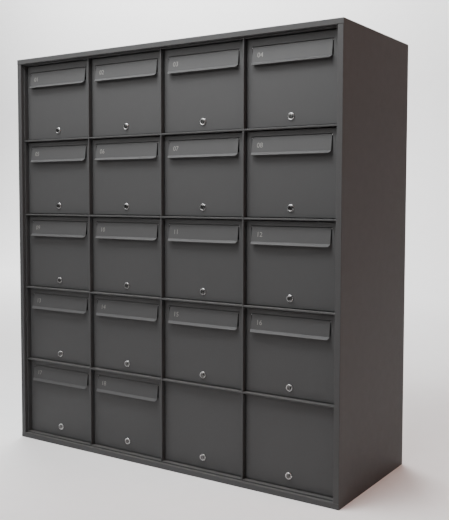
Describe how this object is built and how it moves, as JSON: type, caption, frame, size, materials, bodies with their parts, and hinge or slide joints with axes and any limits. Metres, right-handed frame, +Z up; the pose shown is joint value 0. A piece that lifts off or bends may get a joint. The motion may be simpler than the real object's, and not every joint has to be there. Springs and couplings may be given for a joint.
{
  "type": "cluster mailbox unit",
  "caption": "Sheet steel bank of letter boxes in a flanged casing, with top-hinged doors, leaning letter flaps and a cam lock low in the middle of each door.",
  "frame": {"origin": "middle of the footprint on the floor", "axes": "+X to the right seen from the front, +Y from the doors to the back panel, +Z up"},
  "size_m": [1.156, 0.436, 1.236],
  "materials": {
    "casing_paint": "dark grey satin powder coat, fine texture",
    "grid_paint": "dark grey satin powder coat, fine texture",
    "door_paint": "dark grey satin powder coat, fine texture",
    "flap_paint": "dark grey satin powder coat, fine texture",
    "chrome": "polished chrome plate",
    "zinc_plate": "dull zinc plate on rods, nuts, cams and rivets",
    "number_print": "light grey printed numerals"
  },
  "bodies": {
    "cabinet": {"carcass": "casing_paint", "partition_grid": "grid_paint"},
    "door_r1_c1": {"door_r1_c1": "door_paint"},
    "flap_r1_c1": {"flap_r1_c1": "flap_paint"},
    "lock_r1_c1": {"lock_r1_c1": "chrome"},
    "door_r1_c2": {"door_r1_c2": "door_paint"},
    "flap_r1_c2": {"flap_r1_c2": "flap_paint"},
    "lock_r1_c2": {"lock_r1_c2": "chrome"},
    "door_r1_c3": {"door_r1_c3": "door_paint"},
    "flap_r1_c3": {"flap_r1_c3": "flap_paint"},
    "lock_r1_c3": {"lock_r1_c3": "chrome"},
    "door_r1_c4": {"door_r1_c4": "door_paint"},
    "flap_r1_c4": {"flap_r1_c4": "flap_paint"},
    "lock_r1_c4": {"lock_r1_c4": "chrome"},
    "door_r2_c1": {"door_r2_c1": "door_paint"},
    "flap_r2_c1": {"flap_r2_c1": "flap_paint"},
    "lock_r2_c1": {"lock_r2_c1": "chrome"},
    "door_r2_c2": {"door_r2_c2": "door_paint"},
    "flap_r2_c2": {"flap_r2_c2": "flap_paint"},
    "lock_r2_c2": {"lock_r2_c2": "chrome"},
    "door_r2_c3": {"door_r2_c3": "door_paint"},
    "flap_r2_c3": {"flap_r2_c3": "flap_paint"},
    "lock_r2_c3": {"lock_r2_c3": "chrome"},
    "door_r2_c4": {"door_r2_c4": "door_paint"},
    "flap_r2_c4": {"flap_r2_c4": "flap_paint"},
    "lock_r2_c4": {"lock_r2_c4": "chrome"},
    "door_r3_c1": {"door_r3_c1": "door_paint"},
    "flap_r3_c1": {"flap_r3_c1": "flap_paint"},
    "lock_r3_c1": {"lock_r3_c1": "chrome"},
    "door_r3_c2": {"door_r3_c2": "door_paint"},
    "flap_r3_c2": {"flap_r3_c2": "flap_paint"},
    "lock_r3_c2": {"lock_r3_c2": "chrome"},
    "door_r3_c3": {"door_r3_c3": "door_paint"},
    "flap_r3_c3": {"flap_r3_c3": "flap_paint"},
    "lock_r3_c3": {"lock_r3_c3": "chrome"},
    "door_r3_c4": {"door_r3_c4": "door_paint"},
    "flap_r3_c4": {"flap_r3_c4": "flap_paint"},
    "lock_r3_c4": {"lock_r3_c4": "chrome"},
    "door_r4_c1": {"door_r4_c1": "door_paint"},
    "flap_r4_c1": {"flap_r4_c1": "flap_paint"},
    "lock_r4_c1": {"lock_r4_c1": "chrome"},
    "door_r4_c2": {"door_r4_c2": "door_paint"},
    "flap_r4_c2": {"flap_r4_c2": "flap_paint"},
    "lock_r4_c2": {"lock_r4_c2": "chrome"},
    "door_r4_c3": {"door_r4_c3": "door_paint"},
    "flap_r4_c3": {"flap_r4_c3": "flap_paint"},
    "lock_r4_c3": {"lock_r4_c3": "chrome"},
    "door_r4_c4": {"door_r4_c4": "door_paint"},
    "flap_r4_c4": {"flap_r4_c4": "flap_paint"},
    "lock_r4_c4": {"lock_r4_c4": "chrome"},
    "door_r5_c1": {"door_r5_c1": "door_paint"},
    "flap_r5_c1": {"flap_r5_c1": "flap_paint"},
    "lock_r5_c1": {"lock_r5_c1": "chrome"},
    "door_r5_c2": {"door_r5_c2": "door_paint"},
    "flap_r5_c2": {"flap_r5_c2": "flap_paint"},
    "lock_r5_c2": {"lock_r5_c2": "chrome"},
    "door_r5_c3": {"door_r5_c3": "door_paint"},
    "lock_r5_c3": {"lock_r5_c3": "chrome"},
    "door_r5_c4": {"door_r5_c4": "door_paint"},
    "lock_r5_c4": {"lock_r5_c4": "chrome"}
  },
  "joints": [
    {"name": "door_hinge_r1_c1", "type": "hinge", "parent": "cabinet", "child": "door_r1_c1", "pos_m": [-0.42, -0.19, 1.21], "axis": [-1, 0, 0], "range_deg": [0, 90]},
    {"name": "flap_hinge_r1_c1", "type": "hinge", "parent": "door_r1_c1", "child": "flap_r1_c1", "pos_m": [-0.42, -0.1912, 1.19075], "axis": [1, 0, 0], "range_deg": [-70, 0]},
    {"name": "lock_turn_r1_c1", "type": "hinge", "parent": "door_r1_c1", "child": "lock_r1_c1", "pos_m": [-0.42, -0.194, 1.0045], "axis": [0, 1, 0], "range_deg": [0, 90]},
    {"name": "door_hinge_r1_c4", "type": "hinge", "parent": "cabinet", "child": "door_r1_c4", "pos_m": [0.42, -0.19, 1.21], "axis": [-1, 0, 0], "range_deg": [0, 90]},
    {"name": "flap_hinge_r1_c4", "type": "hinge", "parent": "door_r1_c4", "child": "flap_r1_c4", "pos_m": [0.42, -0.1912, 1.19075], "axis": [1, 0, 0], "range_deg": [-70, 0]},
    {"name": "lock_turn_r1_c4", "type": "hinge", "parent": "door_r1_c4", "child": "lock_r1_c4", "pos_m": [0.42, -0.194, 1.0045], "axis": [0, 1, 0], "range_deg": [0, 90]},
    {"name": "door_hinge_r3_c2", "type": "hinge", "parent": "cabinet", "child": "door_r3_c2", "pos_m": [-0.14, -0.19, 0.728], "axis": [-1, 0, 0], "range_deg": [0, 90]},
    {"name": "flap_hinge_r3_c2", "type": "hinge", "parent": "door_r3_c2", "child": "flap_r3_c2", "pos_m": [-0.14, -0.1912, 0.71475], "axis": [1, 0, 0], "range_deg": [-70, 0]},
    {"name": "lock_turn_r3_c2", "type": "hinge", "parent": "door_r3_c2", "child": "lock_r3_c2", "pos_m": [-0.14, -0.194, 0.5285], "axis": [0, 1, 0], "range_deg": [0, 90]},
    {"name": "door_hinge_r5_c1", "type": "hinge", "parent": "cabinet", "child": "door_r5_c1", "pos_m": [-0.42, -0.19, 0.252], "axis": [-1, 0, 0], "range_deg": [0, 90]},
    {"name": "flap_hinge_r5_c1", "type": "hinge", "parent": "door_r5_c1", "child": "flap_r5_c1", "pos_m": [-0.42, -0.1912, 0.23875], "axis": [1, 0, 0], "range_deg": [-70, 0]},
    {"name": "lock_turn_r5_c1", "type": "hinge", "parent": "door_r5_c1", "child": "lock_r5_c1", "pos_m": [-0.42, -0.194, 0.0525], "axis": [0, 1, 0], "range_deg": [0, 90]},
    {"name": "door_hinge_r5_c4", "type": "hinge", "parent": "cabinet", "child": "door_r5_c4", "pos_m": [0.42, -0.19, 0.252], "axis": [-1, 0, 0], "range_deg": [0, 90]},
    {"name": "lock_turn_r5_c4", "type": "hinge", "parent": "door_r5_c4", "child": "lock_r5_c4", "pos_m": [0.42, -0.194, 0.0525], "axis": [0, 1, 0], "range_deg": [0, 90]},
    {"name": "door_hinge_r2_c3", "type": "hinge", "parent": "cabinet", "child": "door_r2_c3", "pos_m": [0.14, -0.19, 0.966], "axis": [-1, 0, 0], "range_deg": [0, 90]},
    {"name": "flap_hinge_r2_c3", "type": "hinge", "parent": "door_r2_c3", "child": "flap_r2_c3", "pos_m": [0.14, -0.1912, 0.95275], "axis": [1, 0, 0], "range_deg": [-70, 0]},
    {"name": "lock_turn_r2_c3", "type": "hinge", "parent": "door_r2_c3", "child": "lock_r2_c3", "pos_m": [0.14, -0.194, 0.7665], "axis": [0, 1, 0], "range_deg": [0, 90]},
    {"name": "door_hinge_r1_c2", "type": "hinge", "parent": "cabinet", "child": "door_r1_c2", "pos_m": [-0.14, -0.19, 1.21], "axis": [-1, 0, 0], "range_deg": [0, 90]},
    {"name": "flap_hinge_r1_c2", "type": "hinge", "parent": "door_r1_c2", "child": "flap_r1_c2", "pos_m": [-0.14, -0.1912, 1.19075], "axis": [1, 0, 0], "range_deg": [-70, 0]},
    {"name": "lock_turn_r1_c2", "type": "hinge", "parent": "door_r1_c2", "child": "lock_r1_c2", "pos_m": [-0.14, -0.194, 1.0045], "axis": [0, 1, 0], "range_deg": [0, 90]},
    {"name": "door_hinge_r1_c3", "type": "hinge", "parent": "cabinet", "child": "door_r1_c3", "pos_m": [0.14, -0.19, 1.21], "axis": [-1, 0, 0], "range_deg": [0, 90]},
    {"name": "flap_hinge_r1_c3", "type": "hinge", "parent": "door_r1_c3", "child": "flap_r1_c3", "pos_m": [0.14, -0.1912, 1.19075], "axis": [1, 0, 0], "range_deg": [-70, 0]},
    {"name": "lock_turn_r1_c3", "type": "hinge", "parent": "door_r1_c3", "child": "lock_r1_c3", "pos_m": [0.14, -0.194, 1.0045], "axis": [0, 1, 0], "range_deg": [0, 90]},
    {"name": "door_hinge_r2_c1", "type": "hinge", "parent": "cabinet", "child": "door_r2_c1", "pos_m": [-0.42, -0.19, 0.966], "axis": [-1, 0, 0], "range_deg": [0, 90]},
    {"name": "flap_hinge_r2_c1", "type": "hinge", "parent": "door_r2_c1", "child": "flap_r2_c1", "pos_m": [-0.42, -0.1912, 0.95275], "axis": [1, 0, 0], "range_deg": [-70, 0]},
    {"name": "lock_turn_r2_c1", "type": "hinge", "parent": "door_r2_c1", "child": "lock_r2_c1", "pos_m": [-0.42, -0.194, 0.7665], "axis": [0, 1, 0], "range_deg": [0, 90]},
    {"name": "door_hinge_r2_c2", "type": "hinge", "parent": "cabinet", "child": "door_r2_c2", "pos_m": [-0.14, -0.19, 0.966], "axis": [-1, 0, 0], "range_deg": [0, 90]},
    {"name": "flap_hinge_r2_c2", "type": "hinge", "parent": "door_r2_c2", "child": "flap_r2_c2", "pos_m": [-0.14, -0.1912, 0.95275], "axis": [1, 0, 0], "range_deg": [-70, 0]},
    {"name": "lock_turn_r2_c2", "type": "hinge", "parent": "door_r2_c2", "child": "lock_r2_c2", "pos_m": [-0.14, -0.194, 0.7665], "axis": [0, 1, 0], "range_deg": [0, 90]},
    {"name": "door_hinge_r2_c4", "type": "hinge", "parent": "cabinet", "child": "door_r2_c4", "pos_m": [0.42, -0.19, 0.966], "axis": [-1, 0, 0], "range_deg": [0, 90]},
    {"name": "flap_hinge_r2_c4", "type": "hinge", "parent": "door_r2_c4", "child": "flap_r2_c4", "pos_m": [0.42, -0.1912, 0.95275], "axis": [1, 0, 0], "range_deg": [-70, 0]},
    {"name": "lock_turn_r2_c4", "type": "hinge", "parent": "door_r2_c4", "child": "lock_r2_c4", "pos_m": [0.42, -0.194, 0.7665], "axis": [0, 1, 0], "range_deg": [0, 90]},
    {"name": "door_hinge_r3_c1", "type": "hinge", "parent": "cabinet", "child": "door_r3_c1", "pos_m": [-0.42, -0.19, 0.728], "axis": [-1, 0, 0], "range_deg": [0, 90]},
    {"name": "flap_hinge_r3_c1", "type": "hinge", "parent": "door_r3_c1", "child": "flap_r3_c1", "pos_m": [-0.42, -0.1912, 0.71475], "axis": [1, 0, 0], "range_deg": [-70, 0]},
    {"name": "lock_turn_r3_c1", "type": "hinge", "parent": "door_r3_c1", "child": "lock_r3_c1", "pos_m": [-0.42, -0.194, 0.5285], "axis": [0, 1, 0], "range_deg": [0, 90]},
    {"name": "door_hinge_r3_c3", "type": "hinge", "parent": "cabinet", "child": "door_r3_c3", "pos_m": [0.14, -0.19, 0.728], "axis": [-1, 0, 0], "range_deg": [0, 90]},
    {"name": "flap_hinge_r3_c3", "type": "hinge", "parent": "door_r3_c3", "child": "flap_r3_c3", "pos_m": [0.14, -0.1912, 0.71475], "axis": [1, 0, 0], "range_deg": [-70, 0]},
    {"name": "lock_turn_r3_c3", "type": "hinge", "parent": "door_r3_c3", "child": "lock_r3_c3", "pos_m": [0.14, -0.194, 0.5285], "axis": [0, 1, 0], "range_deg": [0, 90]},
    {"name": "door_hinge_r3_c4", "type": "hinge", "parent": "cabinet", "child": "door_r3_c4", "pos_m": [0.42, -0.19, 0.728], "axis": [-1, 0, 0], "range_deg": [0, 90]},
    {"name": "flap_hinge_r3_c4", "type": "hinge", "parent": "door_r3_c4", "child": "flap_r3_c4", "pos_m": [0.42, -0.1912, 0.71475], "axis": [1, 0, 0], "range_deg": [-70, 0]},
    {"name": "lock_turn_r3_c4", "type": "hinge", "parent": "door_r3_c4", "child": "lock_r3_c4", "pos_m": [0.42, -0.194, 0.5285], "axis": [0, 1, 0], "range_deg": [0, 90]},
    {"name": "door_hinge_r4_c1", "type": "hinge", "parent": "cabinet", "child": "door_r4_c1", "pos_m": [-0.42, -0.19, 0.49], "axis": [-1, 0, 0], "range_deg": [0, 90]},
    {"name": "flap_hinge_r4_c1", "type": "hinge", "parent": "door_r4_c1", "child": "flap_r4_c1", "pos_m": [-0.42, -0.1912, 0.47675], "axis": [1, 0, 0], "range_deg": [-70, 0]},
    {"name": "lock_turn_r4_c1", "type": "hinge", "parent": "door_r4_c1", "child": "lock_r4_c1", "pos_m": [-0.42, -0.194, 0.2905], "axis": [0, 1, 0], "range_deg": [0, 90]},
    {"name": "door_hinge_r4_c2", "type": "hinge", "parent": "cabinet", "child": "door_r4_c2", "pos_m": [-0.14, -0.19, 0.49], "axis": [-1, 0, 0], "range_deg": [0, 90]},
    {"name": "flap_hinge_r4_c2", "type": "hinge", "parent": "door_r4_c2", "child": "flap_r4_c2", "pos_m": [-0.14, -0.1912, 0.47675], "axis": [1, 0, 0], "range_deg": [-70, 0]},
    {"name": "lock_turn_r4_c2", "type": "hinge", "parent": "door_r4_c2", "child": "lock_r4_c2", "pos_m": [-0.14, -0.194, 0.2905], "axis": [0, 1, 0], "range_deg": [0, 90]},
    {"name": "door_hinge_r4_c3", "type": "hinge", "parent": "cabinet", "child": "door_r4_c3", "pos_m": [0.14, -0.19, 0.49], "axis": [-1, 0, 0], "range_deg": [0, 90]},
    {"name": "flap_hinge_r4_c3", "type": "hinge", "parent": "door_r4_c3", "child": "flap_r4_c3", "pos_m": [0.14, -0.1912, 0.47675], "axis": [1, 0, 0], "range_deg": [-70, 0]},
    {"name": "lock_turn_r4_c3", "type": "hinge", "parent": "door_r4_c3", "child": "lock_r4_c3", "pos_m": [0.14, -0.194, 0.2905], "axis": [0, 1, 0], "range_deg": [0, 90]},
    {"name": "door_hinge_r4_c4", "type": "hinge", "parent": "cabinet", "child": "door_r4_c4", "pos_m": [0.42, -0.19, 0.49], "axis": [-1, 0, 0], "range_deg": [0, 90]},
    {"name": "flap_hinge_r4_c4", "type": "hinge", "parent": "door_r4_c4", "child": "flap_r4_c4", "pos_m": [0.42, -0.1912, 0.47675], "axis": [1, 0, 0], "range_deg": [-70, 0]},
    {"name": "lock_turn_r4_c4", "type": "hinge", "parent": "door_r4_c4", "child": "lock_r4_c4", "pos_m": [0.42, -0.194, 0.2905], "axis": [0, 1, 0], "range_deg": [0, 90]},
    {"name": "door_hinge_r5_c2", "type": "hinge", "parent": "cabinet", "child": "door_r5_c2", "pos_m": [-0.14, -0.19, 0.252], "axis": [-1, 0, 0], "range_deg": [0, 90]},
    {"name": "flap_hinge_r5_c2", "type": "hinge", "parent": "door_r5_c2", "child": "flap_r5_c2", "pos_m": [-0.14, -0.1912, 0.23875], "axis": [1, 0, 0], "range_deg": [-70, 0]},
    {"name": "lock_turn_r5_c2", "type": "hinge", "parent": "door_r5_c2", "child": "lock_r5_c2", "pos_m": [-0.14, -0.194, 0.0525], "axis": [0, 1, 0], "range_deg": [0, 90]},
    {"name": "door_hinge_r5_c3", "type": "hinge", "parent": "cabinet", "child": "door_r5_c3", "pos_m": [0.14, -0.19, 0.252], "axis": [-1, 0, 0], "range_deg": [0, 90]},
    {"name": "lock_turn_r5_c3", "type": "hinge", "parent": "door_r5_c3", "child": "lock_r5_c3", "pos_m": [0.14, -0.194, 0.0525], "axis": [0, 1, 0], "range_deg": [0, 90]}
  ]
}
